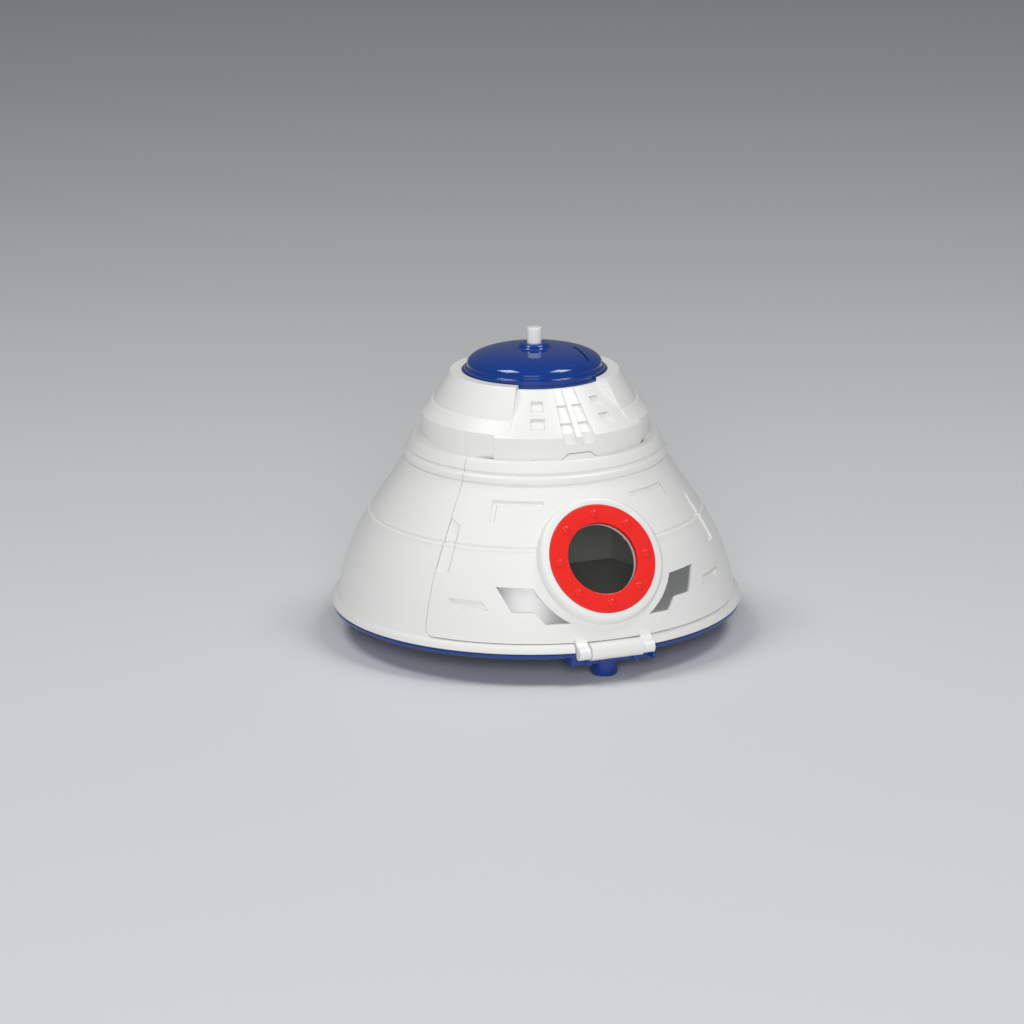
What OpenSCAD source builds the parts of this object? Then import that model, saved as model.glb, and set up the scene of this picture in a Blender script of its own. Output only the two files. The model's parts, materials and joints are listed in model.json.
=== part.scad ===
// Toy space capsule: a conical hull on a dished base, a drop-down door with a
// round porthole, a stepped crown and a domed cap with a push button.
// Millimetres. +Z is up, the table is z = 0, the capsule's axis is Z and the door faces -Y.

/* [Hull] */
// Diameter over the bead round the hull's lower edge
hull_d = 148.6; // [123:0.2:180]
// Height from the hull's lower edge to the top of its collar
hull_h = 61.8; // [51:0.1:75]
// Height of the hull's lower edge above the table
ride_h = 11.5; // [10:0.1:14]
// Thickness of the hull and the door, measured level
wall = 2.6; // [2:0.1:3.2]
// Height of the small ledge round the hull, above the hull's lower edge
ledge_h = 34; // [30:0.5:38]
// Diameter of the hull just above that ledge
ledge_d = 119.8; // [112:0.2:122]
// Diameter of the hull where the cone meets the collar
neck_d = 93.8; // [92:0.2:96]
// Height of the collar round the top of the hull
collar_h = 7.6; // [7:0.1:9]

/* [Door] */
// Half of the angle that the door takes out of the hull
door_half = 55; // [48:1:58]
// Gap between the door and the hull round it
door_gap = 0.25; // [0.2:0.05:0.5]
// Width of the hull's knuckle, between the two lugs of the door
knuckle_w = 19.5; // [14:0.1:22]
// Width of each lug of the door
lug_w = 4.2; // [3.5:0.1:5]
// Diameter of the hinge pin
pin_d = 2; // [1.6:0.1:2.4]

/* [Porthole] */
// Diameter of the porthole's opening
porthole_d = 25.8; // [20:0.2:28]
// Width of the porthole's ring
ring_w = 6.75; // [5:0.05:7.5]
// Height of the porthole's centre above the hull's lower edge
porthole_h = 30.3; // [29:0.1:32]

/* [Crown] */
// Diameter of the crown's upright band
band_d = 82; // [80:0.2:83]
// Height of the crown above the collar
crown_h = 23.4; // [20:0.1:29]
// Height of the upright band above the collar
band_h = 8.55; // [7.5:0.05:10]
// Diameter of the opening in the top of the crown
opening_d = 52.6; // [48:0.2:54]

/* [Cap and button] */
// Height of the dome above the top of the crown
dome_h = 7.8; // [6:0.1:9.5]
// Diameter of the push button
button_d = 5.2; // [4:0.1:6]
// Height of the push button above its boss
button_h = 5.5; // [4:0.1:7]

/* [Base and cabin] */
// Distance of the feet from the axis
foot_r = 63.5; // [50:0.5:64]
// Diameter of each foot
foot_d = 9.6; // [8:0.2:11]
// Distance from the axis to the front face of the cabin's back wall
cabin_back = 27; // [18:0.5:30]
// Thickness of the walls of the cabin
cabin_wall = 1.6; // [1.2:0.1:2.4]

/* [Hidden] */
$fn = 96;

// Levels
z0 = ride_h;
z_seam = z0 + 3.1;              // top of the bead, under the door
z_side = z_seam + 0.3;          // where the side of the hull starts
z_ledge = z0 + ledge_h;
z_top = z0 + hull_h;
z_neck = z_top - collar_h;
z_band = z_top + band_h;
z_crown = z_top + crown_h;
z_floor = z0 + 2.3;             // top of the cabin's floor
z_ceiling = z_top - 3.8;        // seat of the crown, and top of the cabin's ceiling

// Radii
hull_r = hull_d / 2;
bead_w = 2.2;
foot_of_side = hull_r - bead_w;
ledge_r = ledge_d / 2;
neck_r = neck_d / 2;
collar_r = neck_r - 2.1;
band_r = band_d / 2;
block_r = band_r + 1;           // raised block on the band
flange_r = block_r + 0.1;       // skirt of the crown, inside the collar
collar_seat_r = flange_r + 0.05; // inner edge of the hull's collar
seat_r = flange_r + 0.3;        // inner edge of the door's part of the collar
opening_r = opening_d / 2;
crown_wall = 3;
greeble_half = 34.5;            // half angle of the plain cone at the front and the back
block_half = 42.5;

// Hinge
hinge_y = -(hull_r - 0.4);
barrel_r = 2.25;
knuckle_r = 2.75;
lug_gap = 0.3;
lug_x0 = knuckle_w / 2 + lug_gap;
lug_x1 = lug_x0 + lug_w;
bracket_gap = 0.45;
cheek_t = 1.3;
bracket_x = lug_x1 + bracket_gap + cheek_t;
pin_clear = 0.05;

// ---- Points and outlines ----------------------------------------------------

// Direction at an angle from the door's centre line, seen from above
function dir(a) = [sin(a), -cos(a)];

// Curve from a to c, pulled towards b
function bend(a, b, c, n = 6) =
    [for (i = [0:n]) let(t = i / n) (1 - t) * (1 - t) * a + 2 * t * (1 - t) * b + t * t * c];

function reversed(list) = [for (i = [len(list) - 1:-1:0]) list[i]];

// The side of the hull from the bead up to the neck, moved in by d
function side_line(d) = [
    for (p = concat(
        bend([foot_of_side, z_side], [foot_of_side - 2.5, z0 + 19.5],
             [ledge_r + 0.95, z_ledge - 0.7], 8),
        [[ledge_r + 0.95, z_ledge - 0.25], [ledge_r + 0.7, z_ledge + 0.05],
         [ledge_r - 0.3, z_ledge + 0.25], [ledge_r - 0.4, z_ledge + 0.8],
         [ledge_r - 0.25, z_ledge + 1.1], [neck_r, z_neck]])) p - [d, 0]];

// The lip, the groove and the sloping face of the collar
collar_line = [
    [neck_r + 0.6, z_neck + 0.2], [neck_r + 0.45, z_neck + 1.8], [neck_r, z_neck + 2.4],
    [neck_r - 0.9, z_neck + 2.9], [neck_r - 1, z_neck + 3.6], [neck_r - 0.65, z_neck + 4],
    [collar_r + 0.1, z_top - 0.5], [collar_r - 0.4, z_top]];

// Radius of the hull's side at a height
function side_r(z) = lookup(z, [for (p = side_line(0)) [p[1], p[0]]]);

// Radius of the crown's plain cone at a height
cone_top_r = opening_r + 1;
cone_top_z = z_crown - 1.4;
function cone_r(z) = band_r - (z - z_band) * (band_r - cone_top_r) / (cone_top_z - z_band);

// Porthole
porthole_z = z0 + porthole_h;
porthole_r = porthole_d / 2;
ring_r = porthole_r + ring_w;
ring_clear = 0.15;
ring_seat = 1.4;                // depth of the ring's seat in the boss
ring_proud = 0.6;
rivets = 8;
porthole_tilt = atan((side_r(porthole_z - 6) - side_r(porthole_z + 6)) / 12);
porthole_y = -(side_r(porthole_z) - 0.3);
boss_r = ring_r + 1.5;

door_corner = 3;

// ---- Helpers -------------------------------------------------------------------

module turn(points) rotate_extrude() polygon(points);

// Everything between two angles, as an upright wedge
module sector(from, to, bottom = 0, top = 200, apex = 0) {
    translate([0, -apex, bottom]) linear_extrude(top - bottom)
        polygon([[0, 0], 200 * dir(from), 200 * dir(to)]);
}

// A layer that follows the side of the hull, between two depths
module side_layer(outer, inner) {
    turn(concat(side_line(outer), reversed(side_line(inner))));
}

// An outline seen from the front, pushed back through the door on both sides
module front_cut(points) {
    for (side = [0, 1]) mirror([side, 0, 0]) front_shape(points);
}

module front_shape(points) {
    rotate([90, 0, 0]) linear_extrude(100) polygon(points);
}

// The porthole's own frame: its origin on the axis, +Z straight out
module at_porthole() {
    translate([0, porthole_y, porthole_z]) rotate([90 - porthole_tilt, 0, 0]) children();
}

// What a rounded corner leaves off at the foot of both edges of the door
module lower_corners(gap, bottom, r) {
    for (side = [0, 1]) mirror([side, 0, 0]) rotate([0, 0, door_half]) front_shape(concat(
        [[-gap - r, bottom - 1], [1, bottom - 1], [1, bottom + r]],
        [for (i = [0:5]) [-gap - r + r * cos(18 * i), bottom + r - r * sin(18 * i)]]));
}

// A block between two x values with a side outline given about the hinge
module hinge_block(x0, x1, points) {
    translate([x0, hinge_y, z0]) rotate([90, 0, 90]) linear_extrude(x1 - x0) polygon(points);
}

module hinge_cylinder(x0, x1, r) {
    translate([x0, hinge_y, z0]) rotate([0, 90, 0]) cylinder(h = x1 - x0, r = r, $fn = 48);
}

// ---- Base ----------------------------------------------------------------------

dish_t = 2;
dish_z = 2.6;                   // underside of the dish
dish_top = z0 - 0.3;
dish_r = hull_r - 0.3;
rib_r = 59;
battery_size = [50, 32];
battery_lid = [46, 28];
bracket_t = 1.6;
bracket_z = z0 - 5.1;           // underside of the hinge bracket
bracket_front = hinge_y + 3;    // its face, behind the knuckle
bracket_depth = 9;

function dish_line(d) = concat(
    [[0, dish_z + d]],
    bend([44, dish_z + d], [52, dish_z + d], [dish_r - 1 - d, dish_top - 1.7], 8),
    [[dish_r - d, dish_top - 1], [dish_r - d, dish_top]]);

module dish_solid() turn(concat(dish_line(0), [[0, dish_top]]));

// Box under the front edge, with a cheek beside each lug and two small stops
module bracket_solid() {
    intersection() {
        translate([-bracket_x, -dish_r, bracket_z])
            cube([2 * bracket_x, dish_r + bracket_front + bracket_depth, dish_top - bracket_z]);
        cylinder(h = 50, r = dish_r);
    }
}

module bracket_cuts() {
    // room for the hinge
    translate([-bracket_x + cheek_t, -100, 0])
        cube([2 * (bracket_x - cheek_t), 100 + bracket_front, 20]);
    // hollow, open to the inside of the dish
    translate([-bracket_x + bracket_t, bracket_front + bracket_t, bracket_z + bracket_t])
        cube([2 * (bracket_x - bracket_t), bracket_depth - bracket_t, 20]);
}

module bracket_stops() {
    for (x = [-9, 9]) translate([x, bracket_front + 0.5, bracket_z + 0.8])
        rotate([90, 0, 0]) cylinder(h = 1.2, r = 1.3, $fn = 24);
}

module foot_at(a) translate([foot_r * sin(a), -foot_r * cos(a), 0]) children();

foot_top = 8.6;
feet = [0, 120, 240];

module base_dish() {
    color("#1f3f96") difference() {
        union() {
            difference() {
                union() {
                    difference() {
                        dish_solid();
                        turn(concat(dish_line(dish_t), [[0, dish_top]]));
                    }
                    bracket_solid();
                }
                bracket_cuts();
            }
            bracket_stops();
            // rib under the cabin's floor
            intersection() {
                dish_solid();
                translate([0, 0, dish_z]) difference() {
                    cylinder(h = 40, r = rib_r);
                    translate([0, 0, -1]) cylinder(h = 50, r = rib_r - 2);
                }
            }
            translate([0, 0, dish_top - 1]) difference() {
                cylinder(h = z_floor - 1.8 - dish_top + 1, r = rib_r);
                translate([0, 0, -1]) cylinder(h = 50, r = rib_r - 2);
            }
            // sockets of the feet
            intersection() {
                union() {
                    dish_solid();
                    bracket_solid();
                }
                union() for (a = feet) foot_at(a) cylinder(h = foot_top + 2, r = foot_d / 2 + 1.8);
            }
        }
        for (a = feet) foot_at(a)
            translate([0, 0, -1]) cylinder(h = foot_top + 1, r = foot_d / 2 + 0.05);
        translate([-battery_lid[0] / 2 - 0.3, -battery_lid[1] / 2 - 0.3, -1])
            cube([battery_lid[0] + 0.6, battery_lid[1] + 0.6, 10]);
        // speaker holes
        for (i = [0:6]) translate([0, 34, -1]) rotate([0, 0, 60 * i])
            translate([i == 6 ? 0 : 6, 0, 0]) cylinder(h = 10, r = 1.2, $fn = 24);
    }
}

module foot(a) {
    color("#1f3f96") foot_at(a) {
        cylinder(h = 0.6, r1 = foot_d / 2 - 0.5, r2 = foot_d / 2);
        translate([0, 0, 0.6]) cylinder(h = foot_top - 0.6, r = foot_d / 2);
    }
}

module foot_front() foot(feet[0]);
module foot_rear_right() foot(feet[1]);
module foot_rear_left() foot(feet[2]);

module battery_door() {
    color("#1f3f96") translate([-battery_lid[0] / 2, -battery_lid[1] / 2, dish_z])
        cube([battery_lid[0], battery_lid[1], dish_t]);
}

module battery_box() {
    color("#303236") translate([-battery_size[0] / 2, -battery_size[1] / 2, dish_z + dish_t])
        cube([battery_size[0], battery_size[1], z_floor - 1.8 - dish_z - dish_t]);
}

// ---- Cabin ---------------------------------------------------------------------

cabin_back_w = 86;              // width of the cabin's back wall
cabin_front_w = 124;            // width of the cabin at the door's lower corners
cabin_front_y = -42;
inside_gap = 0.4;
ceiling_t = 1.8;
ceiling_r = seat_r - 3.5;

module cabin_floor() {
    color("#a9adb0") translate([0, 0, z_floor - 1.8])
        cylinder(h = 1.8, r = foot_of_side - wall - 0.3);
}

// The room inside the hull, kept clear of its walls and of the crown's seat
module hull_inside(gap) {
    under_seat = z_ceiling - ceiling_t - gap;
    turn(concat([[0, z_floor], [foot_of_side - wall - gap, z_floor]], side_line(wall + gap),
                [[neck_r - wall - 1 - gap, under_seat], [ceiling_r, under_seat],
                 [ceiling_r, z_ceiling], [0, z_ceiling]]));
}

module cabin_walls() {
    outer = [[-cabin_front_w / 2, cabin_front_y], [-cabin_back_w / 2, cabin_back + cabin_wall],
             [cabin_back_w / 2, cabin_back + cabin_wall], [cabin_front_w / 2, cabin_front_y]];
    inner = [[cabin_front_w / 2 - cabin_wall - 0.6, cabin_front_y - 1],
             [cabin_back_w / 2 - cabin_wall, cabin_back],
             [-cabin_back_w / 2 + cabin_wall, cabin_back],
             [-cabin_front_w / 2 + cabin_wall + 0.6, cabin_front_y - 1]];
    translate([0, 0, z_floor]) linear_extrude(z_ceiling - 1 - z_floor)
        polygon(concat(outer, inner));
}

module cabin_liner() {
    color("#a9adb0") {
        intersection() {
            cabin_walls();
            hull_inside(inside_gap);
        }
        translate([0, 0, z_ceiling - ceiling_t]) cylinder(h = ceiling_t, r = ceiling_r);
        intersection() {
            translate([0, 0, z_ceiling - ceiling_t]) cylinder(h = ceiling_t, r = flange_r - 0.5);
            sector(-door_half + 1, door_half - 1);
        }
    }
}

// ---- Hull ----------------------------------------------------------------------

module knuckle_fairing() {
    hinge_block(-knuckle_w / 2, knuckle_w / 2,
        [[-2.65, 0], [-2.4, 2], [-1.5, 3.15], [0, 3.5], [1.2, 3.35], [2.2, 3], [4.6, 3],
         [4.6, 0.2]]);
}

module hull_shell() {
    color("#f2f3f2") difference() {
        union() {
            difference() {
                turn(concat(
                    [[foot_of_side - wall, z0], [hull_r - 0.4, z0], [hull_r, z0 + 0.4],
                     [hull_r, z0 + 1.6], [hull_r - 0.6, z0 + 2.6], [foot_of_side, z_seam]],
                    side_line(0), collar_line,
                    [[collar_seat_r, z_top], [collar_seat_r, z_ceiling],
                     [seat_r - 3.2, z_ceiling],
                     [seat_r - 3.2, z_ceiling - ceiling_t],
                     [neck_r - wall - 1, z_ceiling - ceiling_t]],
                    reversed(side_line(wall))));
                difference() {
                    sector(-door_half, door_half, z_seam, z_top + 1);
                    lower_corners(0, z_seam, door_corner + door_gap);
                }
                // the bead stops at the hinge
                translate([-lug_x1 - bracket_gap, -100, z0 - 1])
                    cube([2 * (lug_x1 + bracket_gap), 100 + hinge_y + 3.8, 10]);
            }
            knuckle_fairing();
            hinge_cylinder(-knuckle_w / 2, knuckle_w / 2, knuckle_r);
        }
        hinge_cylinder(-knuckle_w, knuckle_w, pin_d / 2 + pin_clear);
    }
}

module hinge_pin() {
    reach = lug_x1 - 1;
    color("#b8bcc0") hinge_cylinder(-reach, reach, pin_d / 2);
}

// ---- Crown ---------------------------------------------------------------------

module crown_body() {
    turn([[seat_r - 3, z_ceiling], [flange_r, z_ceiling], [flange_r, z_top],
          [band_r, z_top], [band_r, z_band], [cone_top_r, cone_top_z],
          [opening_r, cone_top_z], [opening_r, z_crown - 2.6],
          [opening_r - 2.1, z_crown - 2.6], [opening_r - 2.1, z_crown - 4.4],
          [cone_r(z_crown - 4.4) - crown_wall, z_crown - 4.4],
          [band_r - crown_wall, z_band], [band_r - crown_wall, z_top]]);
}

// Smooth raised panel on each flank
module flank_panel() {
    intersection() {
        turn([[opening_r, z_crown - 2.3], [band_r - 1.5, z_band], [band_r, z_band],
              [band_r - 3.7, z_band + 4.25], [band_r - 4.5, z_band + 4.35],
              [band_r - 4.6, z_band + 4.9], [opening_r + 4.5, z_crown - 0.4],
              [opening_r + 4, z_crown], [opening_r, z_crown]]);
        union() for (side = [0, 1]) mirror([side, 0, 0])
            sector(greeble_half, 180 - greeble_half);
    }
}

// Raised block on the band, at the front and the back
module band_block() {
    intersection() {
        turn([[band_r - 1, z_top], [block_r, z_top], [block_r, z_band - 0.8],
              [band_r + 0.2, z_band], [band_r - 1, z_band]]);
        sector(-block_half, block_half);
    }
}

// Two channels with overlapping plates, beside a centre rib
module ladder_cut() {
    foot = z_top + 5.2;
    step_1 = z_top + 11.7;
    step_2 = z_top + 16.9;
    outer = block_r + 5;
    intersection() {
        turn([[outer, foot], [band_r - 0.7, foot], [band_r - 1.6, z_band],
              [cone_r(step_1) - 2.1, step_1], [cone_r(step_1) - 1, step_1],
              [cone_r(step_2) - 2.1, step_2], [cone_r(step_2) - 1, step_2],
              [opening_r + 0.2, cone_top_z - 0.4], [opening_r + 0.2, z_crown + 5],
              [outer, z_crown + 5]]);
        union() {
            sector(1.5, 8.3);
            sector(-8.3, -1.5);
        }
    }
}

// Two small square recesses, one above the other, on each side of the ladder
module square_recesses() {
    for (bottom = [z_top + 10.4, z_top + 15.5]) intersection() {
        turn([[cone_r(bottom) - 1.3, bottom], [band_r + 5, bottom], [band_r + 5, bottom + 3.1],
              [cone_r(bottom + 3.1) - 1.3, bottom + 3.1]]);
        union() for (side = [0, 1]) mirror([side, 0, 0]) sector(16.7, 24.5);
    }
}

tab_half = 6.5;                 // half width of the door's finger tab at its foot
tab_top_half = 3.85;
tab_h = 1.8;

module tab_notch() {
    grow = 0.25;
    rotate([90, 0, 0]) translate([0, 0, band_r - 0.9]) linear_extrude(10)
        polygon([[-tab_half - grow - 1, z_ceiling - 1], [tab_half + grow + 1, z_ceiling - 1],
                 [tab_half + grow, z_top], [tab_top_half + grow, z_top + tab_h + grow],
                 [-tab_top_half - grow, z_top + tab_h + grow], [-tab_half - grow, z_top]]);
}

module crown() {
    color("#f2f3f2") difference() {
        union() {
            crown_body();
            flank_panel();
            for (a = [0, 180]) rotate([0, 0, a]) band_block();
        }
        for (a = [0, 180]) rotate([0, 0, a]) {
            ladder_cut();
            square_recesses();
        }
        intersection() {
            tab_notch();
            turn([[band_r, z_ceiling - 2], [band_r + 5, z_ceiling - 2],
                  [band_r + 5, z_band], [band_r, z_band]]);
        }
    }
}

// ---- Cap and button --------------------------------------------------------------

dome_r = opening_r - 1;
dome_edge = z_crown + 0.8;
dome_top = z_crown + dome_h;
dome_rise = dome_top - dome_edge;
cap_boss_r = 7.3;
button_hole_r = button_d / 2 + 0.15;
boss_top = dome_top + 1.8;

dome_line = concat(
    bend([dome_r, dome_edge], [dome_r - 0.1, dome_edge + 0.49 * dome_rise],
         [dome_r - 4.8, dome_edge + 0.71 * dome_rise], 6),
    bend([dome_r - 5.6, dome_edge + 0.745 * dome_rise], [dome_r - 10, dome_edge + 0.95 * dome_rise],
         [cap_boss_r, dome_top], 5));

module dome_cap() {
    flange = opening_r - 0.25;
    seat = z_crown - 2.6;
    color("#1f3f96") difference() {
        turn(concat(
            [[dome_r - 2, seat], [flange, seat], [flange, z_crown - 0.7], [dome_r, z_crown - 0.7]],
            dome_line,
            [[cap_boss_r - 1.2, dome_top + 0.25], [cap_boss_r - 2.2, dome_top + 0.8],
             [cap_boss_r - 3, dome_top + 1.45], [cap_boss_r - 3.7, boss_top],
             [button_hole_r, boss_top], [button_hole_r, dome_top - 2]],
            [[dome_r - 9, dome_top - 3], [dome_r - 2, dome_edge]]));
        // slot in the dome's right side, of even depth
        intersection() {
            translate([13.5, -17, z_crown]) cube([1, 14, 20]);
            turn(concat([for (p = dome_line) p - [0, 0.8]], [[0, dome_top - 0.8], [0, dome_top + 5],
                        [dome_r + 5, dome_top + 5], [dome_r + 5, dome_edge - 0.8]]));
        }
    }
}

module push_button() {
    r = button_d / 2;
    color("#f2f3f2") {
        translate([0, 0, dome_top - 4]) cylinder(h = 1.4, r = r + 2);
        translate([0, 0, dome_top - 2.7]) cylinder(h = boss_top + button_h - dome_top + 2.3, r = r);
        translate([0, 0, boss_top + button_h - 0.4]) cylinder(h = 0.4, r1 = r, r2 = r - 0.4);
    }
}

// ---- Door ----------------------------------------------------------------------

module door_body() {
    difference() {
        intersection() {
            turn(concat(side_line(0), collar_line, [[seat_r, z_top], [seat_r, z_ceiling - 1]],
                        reversed(side_line(wall))));
            sector(-door_half, door_half, 0, 200, door_gap / sin(door_half));
        }
        lower_corners(door_gap, z_side, door_corner);
    }
}

// Round boss that carries the porthole's ring
module porthole_boss() {
    difference() {
        at_porthole() turn([[0, -8], [boss_r + 3, -8], [boss_r + 2.1, -3.4], [boss_r + 1.9, -1.8],
                            [boss_r + 1.5, -0.9], [boss_r + 0.9, -0.3], [boss_r, 0], [0, 0]]);
        // all that lies inside the door and the crown's seat
        turn(concat([[0, 0], [side_line(wall)[0][0], 0]], side_line(wall),
                    [[seat_r, z_ceiling - 1], [seat_r, z_top + 60], [0, z_top + 60]]));
    }
}

// Finger tab that stands up in front of the crown's band
module finger_tab() {
    intersection() {
        rotate([90, 0, 0]) linear_extrude(60)
            polygon([[-tab_half - 0.6, z_ceiling + 1.6], [tab_half + 0.6, z_ceiling + 1.6],
                     [tab_half, z_top], [tab_top_half, z_top + tab_h],
                     [-tab_top_half, z_top + tab_h], [-tab_half, z_top]]);
        turn([[band_r + 0.4, z_ceiling + 1.6], [collar_r - 1, z_ceiling + 1.6],
              [collar_r - 1, z_top], [block_r + 0.7, z_top], [block_r + 0.7, z_top + tab_h],
              [band_r + 0.4, z_top + tab_h]]);
    }
}

module door_lugs() {
    strap = [[-2.2, 0], [-2, 1], [-1.1, 1.9], [0.4, 2.5], [1.5, 3.3], [2.4, 4.6], [3, 5.6],
             [5, 5.6], [5, 3.8], [3.2, 3.5], [2.3, 1.2], [2.2, 0]];
    for (side = [0, 1]) mirror([side, 0, 0]) {
        hinge_block(lug_x0, lug_x1, strap);
        hinge_cylinder(lug_x0, lug_x1, barrel_r);
    }
}

// Outlines on the door's right half, seen from the front
groove_w = 1.5;
corner_groove = [[16.3, z0 + 49.1], [31.9, z0 + 49.1], [34.9, z0 + 42.2], [33.3, z0 + 42.2],
                 [30.9, z0 + 49.1 - groove_w], [16.3, z0 + 49.1 - groove_w]];
slanted_pocket = [[42.3, z0 + 17.3], [51.5, z0 + 17.3], [50.4, z0 + 14.3], [41, z0 + 14.3]];
edge_strip = [[43.1, z0 + 40.2], [46.4, z0 + 33.4], [50, z0 + 25.5], [75, z0 + 25.5],
              [75, z0 + 42.3], [44.6, z0 + 42.3]];

inlay_arc = ring_r + 8;
inlay_from = -20.5;
inlay_to = -57.5;
inlay_sink = 0.5;
inlay_t = 0.8;
function arc_point(a) =
    [inlay_arc * cos(a), porthole_z + inlay_arc * sin(a) * cos(porthole_tilt)];
inlay_outline = concat(
    [for (i = [0:6]) arc_point(inlay_from + (inlay_to - inlay_from) * i / 6)],
    [arc_point(inlay_to) + [8.5, -0.2], arc_point(inlay_to) + [11.8, 3.8],
     arc_point(inlay_to) + [19, 3.8], arc_point(inlay_from) + [11.6, 0.4]]);

module door() {
    color("#f2f3f2") difference() {
        union() {
            door_body();
            porthole_boss();
            finger_tab();
            door_lugs();
        }
        at_porthole() {
            translate([0, 0, -20]) cylinder(h = 30, r = porthole_r);
            translate([0, 0, -ring_seat]) cylinder(h = 10, r = ring_r + ring_clear);
        }
        intersection() {
            front_cut(corner_groove);
            side_layer(-3, 0.7);
        }
        intersection() {
            front_cut(slanted_pocket);
            side_layer(-3, 1);
        }
        intersection() {
            front_cut(edge_strip);
            side_layer(-3, 0.8);
        }
        intersection() {
            front_cut(inlay_outline);
            side_layer(-3, inlay_sink + inlay_t);
        }
        hinge_cylinder(-lug_x1 + 0.9, lug_x1 - 0.9, pin_d / 2 + pin_clear);
    }
}

module porthole_ring() {
    rivet_r = 1.65;
    color("#e0302a") at_porthole() {
        difference() {
            translate([0, 0, -ring_seat]) union() {
                cylinder(h = ring_seat + ring_proud - 0.4, r = ring_r);
                translate([0, 0, ring_seat + ring_proud - 0.4])
                    cylinder(h = 0.4, r1 = ring_r, r2 = ring_r - 0.4);
            }
            translate([0, 0, -5]) cylinder(h = 10, r = porthole_r);
        }
        for (i = [0:rivets - 1]) rotate([0, 0, 360 * i / rivets])
            translate([porthole_r + ring_w / 2, 0, ring_proud - 0.2]) {
                cylinder(h = 0.5, r = rivet_r, $fn = 24);
                translate([0, 0, 0.5]) cylinder(h = 0.5, r1 = rivet_r, r2 = rivet_r - 0.7, $fn = 24);
            }
    }
}

module silver_inlay() {
    intersection() {
        front_shape(inlay_outline);
        side_layer(inlay_sink, inlay_sink + inlay_t);
    }
}

module silver_inlay_right() color("#b9bcc0") silver_inlay();
module silver_inlay_left() color("#b9bcc0") mirror([1, 0, 0]) silver_inlay();

// ---- Draw ----------------------------------------------------------------------

base_dish();
foot_front();
foot_rear_left();
foot_rear_right();
battery_door();
battery_box();
cabin_floor();
cabin_liner();
hull_shell();
crown();
dome_cap();
push_button();
door();
porthole_ring();
silver_inlay_left();
silver_inlay_right();
hinge_pin();
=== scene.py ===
# %% [markdown]
# # A toy space capsule
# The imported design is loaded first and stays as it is: it fixes every size and joint.
# What follows builds the looks around it, a cell at a time: the studio, the finishes, softened
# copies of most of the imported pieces, and then the round ones that are turned anew. Blender works
# in metres and the pieces are measured in millimetres, so lengths are multiplied by MM.

# %% Load the frame
import json
import math

import bpy
from mathutils import Matrix, Vector


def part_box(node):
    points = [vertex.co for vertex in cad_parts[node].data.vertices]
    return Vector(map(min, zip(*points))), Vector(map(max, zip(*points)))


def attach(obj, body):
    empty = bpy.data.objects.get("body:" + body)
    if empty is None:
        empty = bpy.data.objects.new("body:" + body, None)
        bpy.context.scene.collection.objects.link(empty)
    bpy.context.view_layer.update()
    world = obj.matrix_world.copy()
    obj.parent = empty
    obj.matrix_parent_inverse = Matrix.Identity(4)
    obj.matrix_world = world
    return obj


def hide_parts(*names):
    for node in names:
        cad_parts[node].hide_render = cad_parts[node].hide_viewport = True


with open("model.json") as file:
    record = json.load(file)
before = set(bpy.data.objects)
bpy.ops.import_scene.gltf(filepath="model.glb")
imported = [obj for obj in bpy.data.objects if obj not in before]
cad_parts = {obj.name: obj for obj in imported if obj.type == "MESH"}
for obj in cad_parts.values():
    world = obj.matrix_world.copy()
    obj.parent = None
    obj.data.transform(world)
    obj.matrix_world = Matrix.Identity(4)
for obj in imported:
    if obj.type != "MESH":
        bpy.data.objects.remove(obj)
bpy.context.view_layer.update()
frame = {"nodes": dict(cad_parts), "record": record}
nodes = frame["nodes"]
body_of_node = {node: body for body, names in frame["record"]["behaviour"]["bodies"].items()
                for node in names}
slot_of_node = {entry["node"]: entry["material_slot"] for entry in frame["record"]["subparts"]}
MM = 0.001
print("nodes loaded:", len(nodes))

# %% [markdown]
# Most operators act on all that is selected, and freshly loaded nodes are selected. Two small
# helpers keep that in hand: one clears the selection and the other picks a single piece. A third
# reads where a node lies, so that new pieces take their place from the design.


# %% Start with nothing selected
def deselect_all():
    """Leaves edit mode and clears the selection."""
    if bpy.context.object and bpy.context.object.mode != "OBJECT":
        bpy.ops.object.mode_set(mode="OBJECT")
    bpy.ops.object.select_all(action="DESELECT")


def pick(piece):
    """Makes one object the only one that operators act on."""
    deselect_all()
    piece.select_set(True)
    bpy.context.view_layer.objects.active = piece
    return piece


def box_mm(node):
    """A node's lowest and highest corner at rest, in millimetres."""
    return [Vector(corner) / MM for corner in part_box(node)]


deselect_all()
print("selected:", len(bpy.context.selected_objects))

# %% [markdown]
# ## Camera
# A long lens from about 1.7 metres keeps the round edges from bulging. The camera is placed, aimed
# at a point near the capsule's axis, and rolled by half a degree, as a camera held by hand is.

# %% Place the camera
CAMERA_AT = Vector((-0.6132, -1.5171, 0.4908))
AIM_AT = Vector((-0.0079, 0.0032, 0.0431))
CAMERA_ROLL = math.radians(0.5)
bpy.ops.object.camera_add(location=CAMERA_AT)
camera = bpy.context.object
camera.name = "camera"
camera.data.lens = 164.48
camera.data.sensor_width = 36  # both in millimetres
look = (AIM_AT - CAMERA_AT).to_track_quat("-Z", "Y").to_matrix().to_4x4()
camera.matrix_world = Matrix.Translation(CAMERA_AT) @ look @ Matrix.Rotation(-CAMERA_ROLL, 4, "Z")
bpy.context.scene.camera = camera
print("camera is", round((AIM_AT - CAMERA_AT).length, 3), "m from the capsule")

# %% [markdown]
# ## Studio
# White and glossy plastic needs large soft lights: what shows on the dome is the lights' own
# shape. Two square softboxes hang high to the left and the right, so each rounded edge carries a
# pair of highlights. A broad fill near the camera lights the front and reaches into the cabin, and
# a dim card beside it is what the left silver panel mirrors. The plain view transform keeps the red
# and the blue as strong as they are painted.

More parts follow.
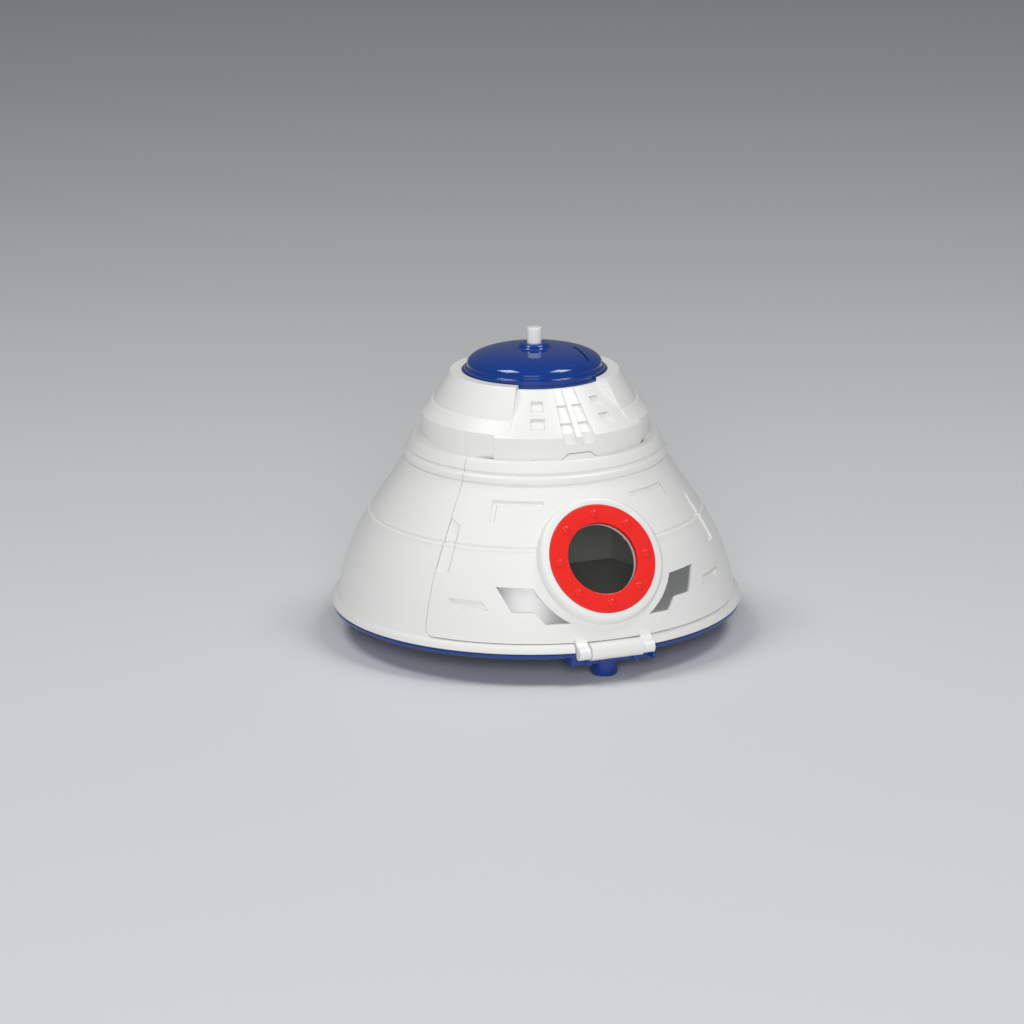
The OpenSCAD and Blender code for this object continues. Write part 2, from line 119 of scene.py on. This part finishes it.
# %% Floor, world and lights
bpy.context.scene.view_settings.view_transform = "Standard"

bpy.ops.mesh.primitive_plane_add(size=8, location=(0, 0, 0))
floor = bpy.context.object
floor.name = "floor"
floor_paint = bpy.data.materials.new("floor_paint")
floor_paint.use_nodes = True
floor_shader = floor_paint.node_tree.nodes["Principled BSDF"]
floor_shader.inputs["Base Color"].default_value = (0.72, 0.73, 0.74, 1)
floor_shader.inputs["Roughness"].default_value = 0.7
floor.data.materials.append(floor_paint)

world = bpy.data.worlds.new("studio")
bpy.context.scene.world = world
world.use_nodes = True
world.node_tree.nodes["Background"].inputs["Color"].default_value = (0.94, 0.97, 1, 1)
world.node_tree.nodes["Background"].inputs["Strength"].default_value = 0.17

VIEW_TURN = math.atan2(CAMERA_AT.x, -CAMERA_AT.y)  # lights are placed as the camera sees them
LIGHTS_AIM = Vector((0, 0, 0.06))


def softbox(name, right, towards, up, size, power):
    """A square area light that looks at the toy. Lengths are metres, the power is in watts."""
    place = Vector((right, -towards, up))
    place.rotate(Matrix.Rotation(VIEW_TURN, 3, "Z"))
    bpy.ops.object.light_add(type="AREA", location=place)
    lamp = bpy.context.object
    lamp.name = name
    lamp.data.size = size
    lamp.data.energy = power
    lamp.rotation_euler = (LIGHTS_AIM - place).to_track_quat("-Z", "Y").to_euler()
    return lamp


lamps = [softbox("softbox_left", -0.51, 0.10, 1.05, 0.38, 4.0),
         softbox("softbox_right", 0.51, 0.10, 1.05, 0.38, 3.8),
         softbox("card_front", -0.16, 1.70, 0.68, 0.8, 2.6),
         softbox("fill_front", 0.02, 1.60, 0.54, 0.6, 12.5)]
lamps[-1].visible_glossy = False  # its image would be a hard bright patch in the dome
print("lights:", [lamp.name for lamp in lamps])

# %% [markdown]
# ## Effects that several finishes share
# Moulded plastic is never quite even. Its gloss changes a little over a few centimetres, its skin
# has a fine grain and a soft orange peel, its colour drifts, and a few specks of dust lie on it.
# Each effect is a node group, so every finish can use it with its own strength. A group gives out
# colours, values and normals, and the shader stays in the material.


# %% Tools for node groups
def new_group(name, inputs, outputs):
    """A node group with its sockets. inputs and outputs are (name, kind, value)."""
    group = bpy.data.node_groups.new(name, "ShaderNodeTree")
    for title, kind, value in inputs:
        socket = group.interface.new_socket(name=title, in_out="INPUT", socket_type=kind)
        if value is not None:
            socket.default_value = value
    for title, kind, _ in outputs:
        group.interface.new_socket(name=title, in_out="OUTPUT", socket_type=kind)
    entry = group.nodes.new("NodeGroupInput")
    result = group.nodes.new("NodeGroupOutput")
    return group, entry, result


def add_node(tree, kind, **settings):
    """Adds a node and sets its properties and its unlinked inputs by name."""
    made = tree.nodes.new(kind)
    for key, value in settings.items():
        if key in made.inputs:
            made.inputs[key].default_value = value
        else:
            setattr(made, key, value)
    return made


FLOAT, COLOUR, VECTOR = "NodeSocketFloat", "NodeSocketColor", "NodeSocketVector"
print("kinds of socket:", FLOAT, COLOUR, VECTOR)


# %% Group: skin of moulded plastic
def build_moulded_skin():
    group, entry, result = new_group(
        "moulded_skin",
        [("Grain Size", FLOAT, 900.0), ("Grain Depth", FLOAT, 0.1), ("Peel Depth", FLOAT, 0.1),
         ("Roughness", FLOAT, 0.3), ("Roughness Change", FLOAT, 0.08)],
        [("Roughness", FLOAT, None), ("Normal", VECTOR, None)])
    tree, link = group, group.links.new
    place = add_node(tree, "ShaderNodeTexCoord")
    # roughness that changes from patch to patch
    patches = add_node(tree, "ShaderNodeTexNoise", Scale=45.0, Detail=3.0, Roughness=0.55)
    link(place.outputs["Object"], patches.inputs["Vector"])
    centred = add_node(tree, "ShaderNodeMath", operation="SUBTRACT")
    centred.inputs[1].default_value = 0.5
    link(patches.outputs["Fac"], centred.inputs[0])
    rough = add_node(tree, "ShaderNodeMath", operation="MULTIPLY_ADD", use_clamp=True)
    link(centred.outputs[0], rough.inputs[0])
    link(entry.outputs["Roughness Change"], rough.inputs[1])
    link(entry.outputs["Roughness"], rough.inputs[2])
    link(rough.outputs[0], result.inputs["Roughness"])

    # fine grain, and then the wider orange peel on top of it
    grain = add_node(tree, "ShaderNodeTexNoise", Detail=2.0, Roughness=0.6)
    link(place.outputs["Object"], grain.inputs["Vector"])
    link(entry.outputs["Grain Size"], grain.inputs["Scale"])
    peel = add_node(tree, "ShaderNodeTexNoise", Scale=260.0, Detail=1.0)
    link(place.outputs["Object"], peel.inputs["Vector"])
    fine = add_node(tree, "ShaderNodeBump", Distance=0.02 * MM)
    link(grain.outputs["Fac"], fine.inputs["Height"])
    link(entry.outputs["Grain Depth"], fine.inputs["Strength"])
    coarse = add_node(tree, "ShaderNodeBump", Distance=0.05 * MM)
    link(peel.outputs["Fac"], coarse.inputs["Height"])
    link(entry.outputs["Peel Depth"], coarse.inputs["Strength"])
    link(fine.outputs["Normal"], coarse.inputs["Normal"])
    link(coarse.outputs["Normal"], result.inputs["Normal"])
    return group


moulded_skin = build_moulded_skin()
print("group:", moulded_skin.name, len(moulded_skin.nodes), "nodes")


# %% Group: uneven tint
def build_uneven_tint():
    group, entry, result = new_group(
        "uneven_tint",
        [("Colour", COLOUR, (0.8, 0.8, 0.8, 1)), ("Second Colour", COLOUR, (0.7, 0.7, 0.7, 1)),
         ("Dust", COLOUR, (0.6, 0.6, 0.58, 1)), ("Change", FLOAT, 0.5), ("Dust Amount", FLOAT, 0.03)],
        [("Colour", COLOUR, None)])
    tree, link = group, group.links.new
    place = add_node(tree, "ShaderNodeTexCoord")
    flow = add_node(tree, "ShaderNodeTexNoise", Scale=14.0, Detail=4.0, Roughness=0.6)
    link(place.outputs["Object"], flow.inputs["Vector"])
    share = add_node(tree, "ShaderNodeMath", operation="MULTIPLY", use_clamp=True)
    link(flow.outputs["Fac"], share.inputs[0])
    link(entry.outputs["Change"], share.inputs[1])
    tint = add_node(tree, "ShaderNodeMix", data_type="RGBA")
    link(share.outputs[0], tint.inputs["Factor"])
    link(entry.outputs["Colour"], tint.inputs["A"])
    link(entry.outputs["Second Colour"], tint.inputs["B"])
    specks = add_node(tree, "ShaderNodeTexNoise", Scale=1400.0, Detail=1.0)
    link(place.outputs["Object"], specks.inputs["Vector"])
    few = add_node(tree, "ShaderNodeValToRGB")
    few.color_ramp.elements[0].position = 0.66
    few.color_ramp.elements[1].position = 0.76
    link(specks.outputs["Fac"], few.inputs["Fac"])
    dusted = add_node(tree, "ShaderNodeMath", operation="MULTIPLY", use_clamp=True)
    link(few.outputs["Color"], dusted.inputs[0])
    link(entry.outputs["Dust Amount"], dusted.inputs[1])
    final = add_node(tree, "ShaderNodeMix", data_type="RGBA")
    link(dusted.outputs[0], final.inputs["Factor"])
    link(tint.outputs["Result"], final.inputs["A"])
    link(entry.outputs["Dust"], final.inputs["B"])
    link(final.outputs["Result"], result.inputs["Colour"])
    return group


uneven_tint = build_uneven_tint()
print("group:", uneven_tint.name, len(uneven_tint.nodes), "nodes")


# %% [markdown]
# ## Finishes
# The shells are white styrene with a satin gloss, the dome and the base are polished blue, the
# ring is red, and the panels beside it are a satin silver coat. A table gives each finish its two
# colours, its roughness and how deep its grain is, and one function builds all the moulded ones.


# %% Moulded plastics
def moulded(name, colour, second, rough, change=0.08, grain=0.1, peel=0.1, grain_size=900.0,
            dust=0.03, coat=0.0):
    """A plastic finish. The constants sit on the shader, and the groups vary the rest."""
    material = bpy.data.materials.new(name)
    material.use_nodes = True
    tree = material.node_tree
    shader = tree.nodes["Principled BSDF"]
    shader.inputs["IOR"].default_value = 1.5
    shader.inputs["Coat Weight"].default_value = coat
    shader.inputs["Coat Roughness"].default_value = 0.04
    skin = add_node(tree, "ShaderNodeGroup", node_tree=moulded_skin)
    for title, value in (("Grain Size", grain_size), ("Grain Depth", grain), ("Peel Depth", peel),
                         ("Roughness", rough), ("Roughness Change", change)):
        skin.inputs[title].default_value = value
    tree.links.new(skin.outputs["Roughness"], shader.inputs["Roughness"])
    tree.links.new(skin.outputs["Normal"], shader.inputs["Normal"])
    paint = add_node(tree, "ShaderNodeGroup", node_tree=uneven_tint)
    paint.inputs["Colour"].default_value = (*colour, 1)
    paint.inputs["Second Colour"].default_value = (*second, 1)
    paint.inputs["Dust Amount"].default_value = dust
    tree.links.new(paint.outputs["Colour"], shader.inputs["Base Color"])
    return material


finishes = {
    "white_plastic": moulded("white_plastic", (0.83, 0.825, 0.805), (0.80, 0.80, 0.785), 0.34,
                             grain=0.25, peel=0.10, dust=0.10),
    "white_button": moulded("white_button", (0.84, 0.84, 0.82), (0.80, 0.80, 0.78), 0.30,
                            grain=0.15, peel=0.08, grain_size=1300.0),
    "blue_plastic": moulded("blue_plastic", (0.003, 0.037, 0.235), (0.004, 0.044, 0.255), 0.07,
                            change=0.04, grain=0.03, peel=0.10, dust=0.05, coat=0.3),
    "red_plastic": moulded("red_plastic", (0.86, 0.024, 0.018), (0.80, 0.020, 0.016), 0.22,
                           grain=0.2, peel=0.15, dust=0.04),
    "grey_plastic": moulded("grey_plastic", (0.36, 0.37, 0.335), (0.33, 0.34, 0.31), 0.45,
                            grain=0.4, peel=0.10),
    "dark_plastic": moulded("dark_plastic", (0.03, 0.03, 0.035), (0.04, 0.04, 0.042), 0.5,
                            grain=0.5),
}
print("plastics:", sorted(finishes))


# %% [markdown]
# The silver coat and the steel wire are metals with a fine drawn grain. The noise is stretched
# along one direction by a Mapping node, and it moves both the roughness and the surface.


# %% Brushed metals
def build_drawn_grain():
    group, entry, result = new_group(
        "drawn_grain",
        [("Vector", VECTOR, None), ("Roughness", FLOAT, 0.3), ("Roughness Change", FLOAT, 0.1),
         ("Depth", FLOAT, 0.1)],
        [("Roughness", FLOAT, None), ("Normal", VECTOR, None), ("Streaks", FLOAT, None)])
    link = group.links.new
    streaks = add_node(group, "ShaderNodeTexNoise", Scale=1000.0, Detail=3.0, Roughness=0.6)
    link(entry.outputs["Vector"], streaks.inputs["Vector"])
    rough = add_node(group, "ShaderNodeMath", operation="MULTIPLY_ADD", use_clamp=True)
    link(streaks.outputs["Fac"], rough.inputs[0])
    link(entry.outputs["Roughness Change"], rough.inputs[1])
    link(entry.outputs["Roughness"], rough.inputs[2])
    link(rough.outputs[0], result.inputs["Roughness"])
    raised = add_node(group, "ShaderNodeBump", Distance=0.01 * MM)
    link(streaks.outputs["Fac"], raised.inputs["Height"])
    link(entry.outputs["Depth"], raised.inputs["Strength"])
    link(raised.outputs["Normal"], result.inputs["Normal"])
    link(streaks.outputs["Fac"], result.inputs["Streaks"])
    return group


drawn_grain = build_drawn_grain()


def brushed(name, dark, light, rough, stretch, depth):
    """A metal whose grain runs along the axes with the smallest stretch."""
    material = bpy.data.materials.new(name)
    material.use_nodes = True
    tree = material.node_tree
    shader = tree.nodes["Principled BSDF"]
    shader.inputs["Metallic"].default_value = 1
    place = add_node(tree, "ShaderNodeTexCoord")
    mapping = add_node(tree, "ShaderNodeMapping", Scale=stretch)
    tree.links.new(place.outputs["Object"], mapping.inputs["Vector"])
    grain = add_node(tree, "ShaderNodeGroup", node_tree=drawn_grain)
    tree.links.new(mapping.outputs["Vector"], grain.inputs["Vector"])
    grain.inputs["Roughness"].default_value = rough
    grain.inputs["Depth"].default_value = depth
    colour = add_node(tree, "ShaderNodeMix", data_type="RGBA")
    colour.inputs["A"].default_value = (*dark, 1)
    colour.inputs["B"].default_value = (*light, 1)
    tree.links.new(grain.outputs["Streaks"], colour.inputs["Factor"])
    tree.links.new(colour.outputs["Result"], shader.inputs["Base Color"])
    tree.links.new(grain.outputs["Roughness"], shader.inputs["Roughness"])
    tree.links.new(grain.outputs["Normal"], shader.inputs["Normal"])
    return material


finishes["silver"] = brushed("silver", (0.74, 0.74, 0.73), (0.84, 0.84, 0.83), 0.26,
                             (0.3, 0.3, 2.0), 0.25)
finishes["steel"] = brushed("steel", (0.45, 0.46, 0.47), (0.60, 0.61, 0.62), 0.25,
                            (0.2, 2.0, 2.0), 0.2)
print("finishes:", sorted(finishes))

for name, node in nodes.items():
    node.data.materials.clear()
    node.data.materials.append(finishes[slot_of_node[name]])
print("nodes with a finish:", len(nodes))

# %% [markdown]
# ## Softened copies of the mouldings
# No moulded edge is truly sharp: the mould's own corners leave a radius of a few tenths of a
# millimetre, and that thin line of light is what makes a part look real. Each piece that isn't
# modelled anew further on is copied, its loose triangles are merged, its flat faces are joined so
# that a bevel has clean edges to work on, and its sharp edges are rounded.
#
# The shells are round before anything is cut from them, so a turned face points straight away
# from the axis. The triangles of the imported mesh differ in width, and averaged normals would
# wobble from one to the next and show as streaks in the gloss. So each corner of a turned face is
# told its true direction: the slope is the one that smooth shading found, and the turn comes from
# where the corner is. The door has a second axis, through its round porthole.

# %% Even shading on turned faces
POLE = (Vector((0, 0, 0)), Vector((0, 0, 1)))
PORTHOLE_AT = Vector((0, -62.35, 41.8)) * MM
PORTHOLE_TILT = math.radians(29.9)
PORTHOLE = (PORTHOLE_AT, Vector((0, -math.cos(PORTHOLE_TILT), math.sin(PORTHOLE_TILT))))
FACING = math.cos(math.radians(6))  # a face within this turn of straight out is a turned face
NEAR_ENOUGH = 0.94  # a corner that differs more from its new direction keeps the old one
FLAT_FACE, ON_AXIS = 0.1, 1 * MM  # faces square to the axis or on it have no direction to mend


def straighten_normals(piece, axes):
    """Turns the corner normals of turned faces so that they point straight out from an axis. Each
    axis is a point on it and its direction."""
    mesh = piece.data
    smooth = [corner.vector.copy() for corner in mesh.corner_normals]
    mended = 0
    for face in mesh.polygons:
        for origin, axis in axes:
            arm = face.center - origin
            arm -= axis * arm.dot(axis)
            flat = face.normal - axis * face.normal.dot(axis)
            if arm.length < ON_AXIS or flat.length < FLAT_FACE:
                continue
            side = arm.normalized().dot(flat.normalized())
            if abs(side) < FACING:
                continue
            sign = 1 if side > 0 else -1
            for loop in face.loop_indices:
                corner = mesh.vertices[mesh.loops[loop].vertex_index].co - origin
                corner -= axis * corner.dot(axis)
                rise = smooth[loop].dot(axis)
                out = math.sqrt(max(0.0, 1 - rise * rise))
                wanted = corner.normalized() * sign * out + axis * rise
                if wanted.dot(smooth[loop]) > NEAR_ENOUGH:
                    smooth[loop] = wanted
            mended += 1
            break
    mesh.normals_split_custom_set(smooth)
    return mended


print("porthole looks up by", round(math.degrees(PORTHOLE_TILT), 1), "degrees")

# %% [markdown]
# A new piece has to ride a body, so that it moves with the door or stays with the hull, and it
# takes its finish from a slot of the record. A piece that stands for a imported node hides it.


# %% Standing in for a node
def stand_in(piece, node):
    """The piece takes over a CAD node's place, its body and its finish."""
    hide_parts(node)
    return fit_out(piece, body_of_node[node], slot_of_node[node])


def fit_out(piece, body, slot):
    """The piece rides a body and wears the finish of a slot."""
    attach(piece, body)
    piece.data.materials.clear()
    piece.data.materials.append(finishes[slot])
    return piece


print("bodies:", sorted(set(body_of_node.values())))

# %% [markdown]
# The copy is merged first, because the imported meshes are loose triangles. The bevel then rounds
# only true edges, and a pass that weighs normals by area keeps the flat faces flat.

# %% Copy, merge and soften
LOOSE = 0.001 * MM  # corners nearer than this are one corner
LEVEL = math.radians(0.5)  # faces that turn less than this are one face
BEVEL_FROM = math.radians(32)
SMOOTH_BELOW = math.radians(40)


def softened(name, radius):
    """A copy of a CAD node with its sharp edges rounded by radius, which stands in for it."""
    pick(nodes[name])
    bpy.ops.object.duplicate()
    piece = bpy.context.object
    piece.name = name + "_moulding"
    pick(piece)
    bpy.ops.object.mode_set(mode="EDIT")
    bpy.ops.mesh.select_all(action="SELECT")
    bpy.ops.mesh.remove_doubles(threshold=LOOSE)
    bpy.ops.mesh.dissolve_limited(angle_limit=LEVEL)
    bpy.ops.object.mode_set(mode="OBJECT")
    edge = piece.modifiers.new("soft_edges", "BEVEL")
    edge.width = radius * MM
    edge.segments = 2
    edge.limit_method = "ANGLE"
    edge.angle_limit = BEVEL_FROM
    bpy.ops.object.modifier_apply(modifier=edge.name)
    bpy.ops.object.shade_smooth_by_angle(angle=SMOOTH_BELOW)
    steady = piece.modifiers.new("steady_normals", "WEIGHTED_NORMAL")
    steady.keep_sharp = True
    bpy.ops.object.modifier_apply(modifier=steady.name)
    count = straighten_normals(piece, (POLE, PORTHOLE) if name == "door" else (POLE,))
    print(f"{piece.name}: {len(piece.data.polygons)} faces, {count} of them round an axis")
    return stand_in(piece, name)


# in millimetres: large shells have small edges, and rubbed parts such as the feet have round ones
EDGE_RADII = {"hull_shell": 0.22, "door": 0.22, "crown": 0.25, "base_dish": 0.25,
              "cabin_liner": 0.2, "cabin_floor": 0.2, "battery_door": 0.4,
              "silver_inlay_left": 0.1, "silver_inlay_right": 0.1, "hinge_pin": 0.3,
              "foot_front": 0.7, "foot_rear_left": 0.7, "foot_rear_right": 0.7}
for moulding, radius in EDGE_RADII.items():
    softened(moulding, radius)
print("softened:", len(EDGE_RADII), "mouldings")

# %% [markdown]
# ## Turned pieces
# The dome, the button, the ring and its rivets are round. A lathe cuts such a shape from one
# profile. Here a circle of points is extruded, scaled and lifted from each step of the profile to
# the next, which keeps every step at its exact size. A curve is a short run of steps.


# %% Tools for turned pieces
def curve(start, pull, end, steps):
    """Steps of a smooth curve from start to end that is drawn towards pull."""
    found = []
    for i in range(1, steps + 1):
        t = i / steps
        found.append(tuple((1 - t) ** 2 * a + 2 * t * (1 - t) * b + t * t * c
                           for a, b, c in zip(start, pull, end)))
    return found


SHARP_ANGLE = math.radians(35)  # edges that turn more than this stay crisp
MERGE = 0.002 * MM  # a ring's last step lies this near its first one


def turned(name, profile, around, fill="NOTHING"):
    """A round piece from (radius, height) steps in millimetres. The steps of a ring end where
    they began. With fill="NGON" the piece is solid and its top is flat."""
    deselect_all()
    radius, height = profile[0]
    bpy.ops.mesh.primitive_circle_add(vertices=around, radius=radius * MM, fill_type=fill,
                                      location=(0, 0, 0))
    piece = bpy.context.object
    piece.name = name
    bpy.ops.object.mode_set(mode="EDIT")
    bpy.ops.mesh.select_all(action="SELECT")
    bpy.ops.transform.translate(value=(0, 0, height * MM))
    for next_radius, next_height in profile[1:]:
        bpy.ops.mesh.extrude_region_move()
        grow = next_radius / radius
        bpy.ops.transform.resize(value=(grow, grow, 1), center_override=(0, 0, height * MM))
        bpy.ops.transform.translate(value=(0, 0, (next_height - height) * MM))
        radius, height = next_radius, next_height
    bpy.ops.mesh.select_all(action="SELECT")
    bpy.ops.mesh.remove_doubles(threshold=MERGE)
    bpy.ops.mesh.normals_make_consistent(inside=False)
    bpy.ops.object.mode_set(mode="OBJECT")
    bpy.ops.object.shade_smooth_by_angle(angle=SHARP_ANGLE)
    return piece


def block(centre, size):
    """A plain block that is only used as a cutter. Both are in millimetres."""
    bpy.ops.mesh.primitive_cube_add(size=1, location=Vector(centre) * MM)
    made = bpy.context.object
    made.scale = Vector(size) * MM
    bpy.ops.object.transform_apply(location=True, rotation=True, scale=True)
    return made


def cut(piece, cutter, operation="DIFFERENCE"):
    """Applies a Boolean to a piece and removes the cutter."""
    pick(piece)
    tool = piece.modifiers.new("cut", "BOOLEAN")
    tool.operation = operation
    tool.solver = "EXACT"
    tool.object = cutter
    bpy.ops.object.modifier_apply(modifier=tool.name)
    pick(cutter)
    bpy.ops.object.delete()
    pick(piece)
    bpy.ops.object.shade_smooth_by_angle(angle=SHARP_ANGLE)
    return piece


print("a curve in two steps:", curve((0, 0), (1, 0), (1, 1), 2))

# %% [markdown]
# ### Dome
# The dome is one polished blue moulding, held by a flange below the crown's opening. A small
# rounded lip runs round its foot and a soft boss carries the button. The polish shows each lamp
# once on the shoulder and again on the lip, so both curves are cut in fine steps. The flange and
# the boss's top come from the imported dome, and the rest is measured from them.

# %% Dome
cap_low, cap_high = box_mm("dome_cap")
FLANGE_LOW, BOSS_TOP, FLANGE_R = cap_low.z, cap_high.z, cap_high.x
BOSS_HIGH, FLANGE_WIDE, DOME_STEPS = 1.8, 0.75, 192
DOME_TOP, DOME_R = BOSS_TOP - BOSS_HIGH, FLANGE_R - FLANGE_WIDE
BOSS_R, HOLE_R, WALL = 7.3, 2.75, 2.0
lip_start = (DOME_R, FLANGE_LOW + 3.2)
lip_top = (DOME_R - 0.65, FLANGE_LOW + 3.9)
lip_foot = (DOME_R - 1.0, FLANGE_LOW + 4.6)
shoulder = (DOME_R - 4.7, DOME_TOP - 2.1)
boss_side = (BOSS_R - 1.7, DOME_TOP + 0.8)
boss_edge = (BOSS_R - 3.2, BOSS_TOP)
flange = [(DOME_R - WALL, FLANGE_LOW), (FLANGE_R, FLANGE_LOW), (FLANGE_R, FLANGE_LOW + 1.9),
          (DOME_R, FLANGE_LOW + 1.9), lip_start]
lip = curve(lip_start, (DOME_R, lip_top[1]), lip_top, 5)
lip += curve(lip_top, (DOME_R - 0.95, lip_top[1] + 0.1), lip_foot, 5)
skin = curve(lip_foot, (DOME_R - 0.9, DOME_TOP - 3.6), shoulder, 12)
skin += curve(shoulder, (DOME_R - 9.5, DOME_TOP - 0.2), (BOSS_R, DOME_TOP), 12)
boss = curve((BOSS_R, DOME_TOP), (BOSS_R - 1.3, DOME_TOP), boss_side, 6)
boss += curve(boss_side, (BOSS_R - 2.1, BOSS_TOP), boss_edge, 6)
hollow = [(HOLE_R + 0.15, BOSS_TOP), (HOLE_R, BOSS_TOP - 0.15), (HOLE_R, DOME_TOP - WALL),
          (DOME_R - 9, DOME_TOP - 3), (DOME_R - WALL, FLANGE_LOW + 3.4),
          (DOME_R - WALL, FLANGE_LOW)]
dome = turned("dome", flange + lip + skin + boss + hollow, DOME_STEPS)
print("dome:", len(dome.data.polygons), "faces")

# %% [markdown]
# The fine slot in the dome's right shoulder has an even depth, so its floor follows the dome. The
# cutter is therefore the dome's own skin, lowered by the depth and trimmed to a narrow bar.

# %% Slot in the dome
SLOT_AT, SLOT_SIZE, SLOT_DEPTH = (14, -10, 100), (1, 14, 60), 0.8
CUTTER_TOP = 110
lowered = [(radius, height - SLOT_DEPTH) for radius, height in skin]
cutter = turned("slot_cutter", lowered + [(BOSS_R, CUTTER_TOP), (DOME_R, CUTTER_TOP), lowered[0]],
                DOME_STEPS)
bar = block(SLOT_AT, SLOT_SIZE)
cut(cutter, bar, "INTERSECT")
cut(dome, cutter)
stand_in(dome, "dome_cap")
print("dome with its slot:", len(dome.data.polygons), "faces")

# %% [markdown]
# ### Button
# The button is a plain white plunger. Its collar stays under the dome, which keeps it from
# falling out, and its top edge has a small radius, because a finger presses on it.

# %% Push button
button_low, button_high = box_mm("push_button")
COLLAR_R, BUTTON_TOP = button_high.x, button_high.z
BUTTON_R, COLLAR_TOP, TOP_EDGE = COLLAR_R - 2, button_low.z + 1.4, 0.4
button_profile = [(COLLAR_R, button_low.z), (COLLAR_R, COLLAR_TOP), (BUTTON_R, COLLAR_TOP),
                  (BUTTON_R, BUTTON_TOP - TOP_EDGE)]
button_profile += curve(button_profile[-1], (BUTTON_R, BUTTON_TOP),
                        (BUTTON_R - TOP_EDGE, BUTTON_TOP), 5)
button = stand_in(turned("button", button_profile, 64, "NGON"), "push_button")
print("button:", len(button.data.polygons), "faces")

# %% [markdown]
# ### Porthole ring and rivets
# The ring is a flat red washer pressed into the door's boss, with its edges just broken. Eight
# low rivet heads stand on it at even steps. The rivet is turned once and copied, and each copy
# has its own mesh, so a later user can change one without the others. Both are turned upright
# and then laid on the door, so their heights are measured out from the porthole's centre.

# %% Ring
RING_IN, RING_OUT, RING_LOW, RING_FACE = 12.9, 19.65, -1.4, 0.6
EDGE = 0.35
ring_profile = [(RING_IN, RING_LOW), (RING_OUT, RING_LOW), (RING_OUT, RING_FACE - EDGE)]
ring_profile += curve(ring_profile[-1], (RING_OUT, RING_FACE), (RING_OUT - EDGE, RING_FACE), 4)
ring_profile += [(RING_IN + EDGE, RING_FACE)]
ring_profile += curve(ring_profile[-1], (RING_IN, RING_FACE), (RING_IN, RING_FACE - EDGE), 4)
ring_profile += [(RING_IN, RING_LOW)]
ON_DOOR = Matrix.Translation(PORTHOLE_AT) @ Matrix.Rotation(math.pi / 2 - PORTHOLE_TILT, 4, "X")


def on_door(piece, local=Matrix()):
    """Moves a piece from the porthole's own axes to its place on the closed door."""
    pick(piece)
    piece.matrix_world = ON_DOOR @ local
    bpy.ops.object.transform_apply(location=True, rotation=True, scale=True)
    return piece


ring = stand_in(on_door(turned("ring", ring_profile, 160)), "porthole_ring")
print("ring:", len(ring.data.polygons), "faces")

# %% Rivets
RIVETS, RIVET_R, RIVET_HIGH = 8, 1.55, 0.75
rivet_profile = [(RIVET_R, RING_FACE - 0.2), (RIVET_R, RING_FACE + 0.1)]
rivet_profile += curve(rivet_profile[-1], (RIVET_R * 0.9, RING_FACE + RIVET_HIGH),
                       (0.2, RING_FACE + RIVET_HIGH), 7)
first = turned("rivet", rivet_profile, 40, "NGON")
heads = [first]
for _ in range(RIVETS - 1):
    pick(first)
    bpy.ops.object.duplicate()
    heads.append(bpy.context.object)
for i, head in enumerate(heads):
    head.name = f"rivet_{i + 1}"
    step = Matrix.Rotation(2 * math.pi * i / RIVETS, 4, "Z")
    on_door(head, step @ Matrix.Translation(((RING_IN + RING_OUT) / 2 * MM, 0, 0)))
    fit_out(head, body_of_node["porthole_ring"], slot_of_node["porthole_ring"])
print("rivets:", len(heads))

# %% [markdown]
# ### Screw of the battery door
# A toy's battery door is held by one cross-head screw, so that a child cannot open it. The head
# is a low turned disc, and two crossing bars cut its slots. It sits in the lid, facing down.

# %% Battery screw
lid_low, lid_high = box_mm("battery_door")
SCREW_R, HEAD_FLAT_R, HEAD_HIGH, HEAD_EDGE, SUNK = 2.6, 1.9, 0.7, 0.5, 0.8
SLOT_LONG, SLOT_WIDE, SLOT_DEEP = 3.2, 0.75, 0.8
FROM_LID_END = 4
SCREW_AT = Vector((lid_high.x - FROM_LID_END, 0, 0))
head_low = lid_low.z - HEAD_HIGH
screw_profile = [(HEAD_FLAT_R, head_low)]
screw_profile += curve(screw_profile[0], (SCREW_R, head_low), (SCREW_R, head_low + HEAD_EDGE), 5)
screw_profile += [(SCREW_R, lid_low.z + SUNK)]
screw = turned("battery_screw", screw_profile, 48, "NGON")
for long, wide in ((SLOT_LONG, SLOT_WIDE), (SLOT_WIDE, SLOT_LONG)):
    cut(screw, block((0, 0, head_low), (long, wide, 2 * SLOT_DEEP)))
screw.location = SCREW_AT * MM
bpy.ops.object.transform_apply(location=True, rotation=True, scale=True)
fit_out(screw, body_of_node["battery_door"], "steel")
print("screw:", len(screw.data.polygons), "faces")
